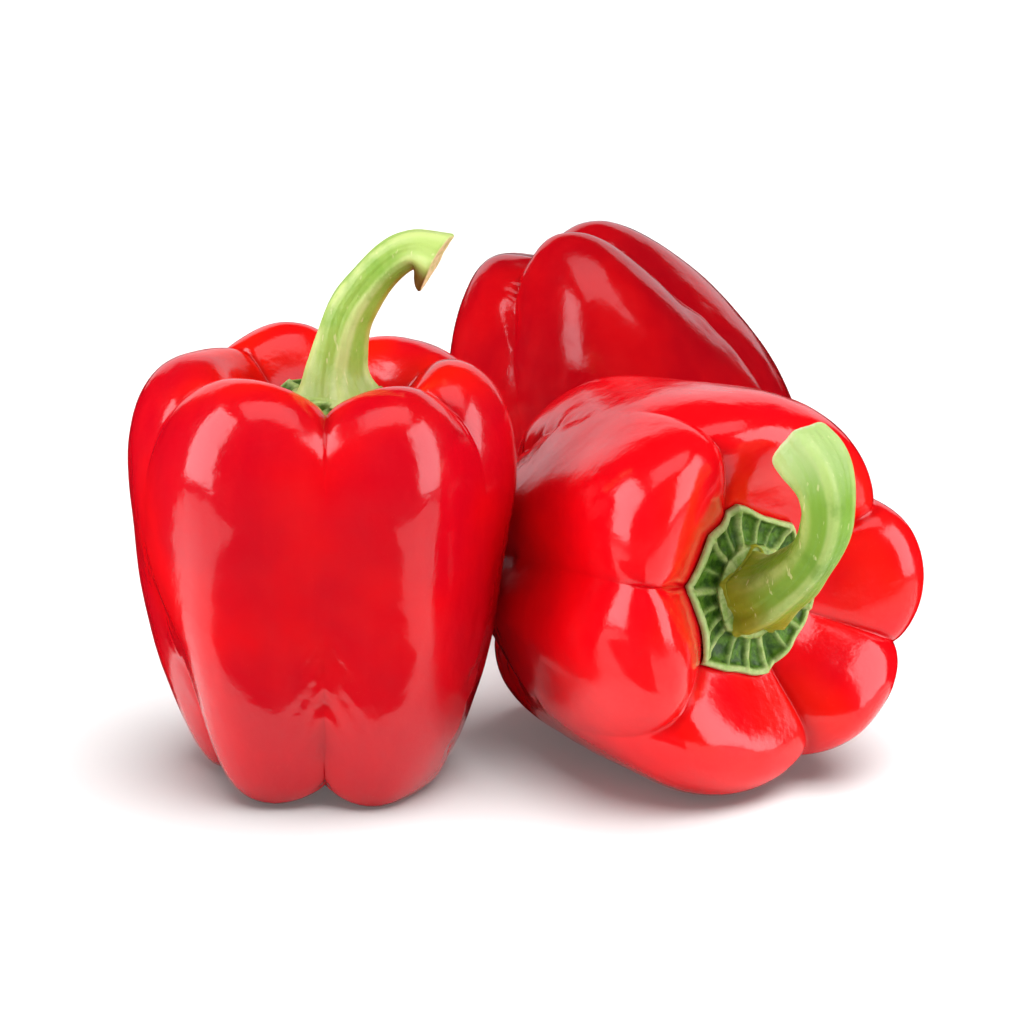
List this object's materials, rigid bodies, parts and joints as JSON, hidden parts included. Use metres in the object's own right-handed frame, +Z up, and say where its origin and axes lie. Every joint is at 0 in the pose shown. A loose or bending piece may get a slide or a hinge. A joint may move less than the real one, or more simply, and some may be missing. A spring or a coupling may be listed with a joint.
{
  "type": "red bell peppers",
  "caption": "Whole red bell peppers with green calyxes and curved stems, resting in a group: an upright fruit, a lying fruit with its stem end forward, an upside-down fruit behind.",
  "frame": {"origin": "on the surface the peppers rest on, under the middle of the group's bounding box", "axes": "+Z up; -Y the front, where the lying pepper's stem end faces; +X to the right seen from the front"},
  "size_m": [0.1781, 0.1954, 0.1256],
  "materials": {
    "skin": "waxy gloss, smooth, deep red",
    "calyx": "satin, ribbed, mid green",
    "stem": "satin, fibrous, pale yellow-green with a dry buff cut end"
  },
  "bodies": {
    "root": {"pepper_upright_fruit": "skin", "pepper_upright_calyx": "calyx", "pepper_upright_stem": "stem", "pepper_lying_fruit": "skin", "pepper_lying_calyx": "calyx", "pepper_lying_stem": "stem", "pepper_rear_fruit": "skin", "pepper_rear_calyx": "calyx", "pepper_rear_stem": "stem"}
  },
  "joints": []
}
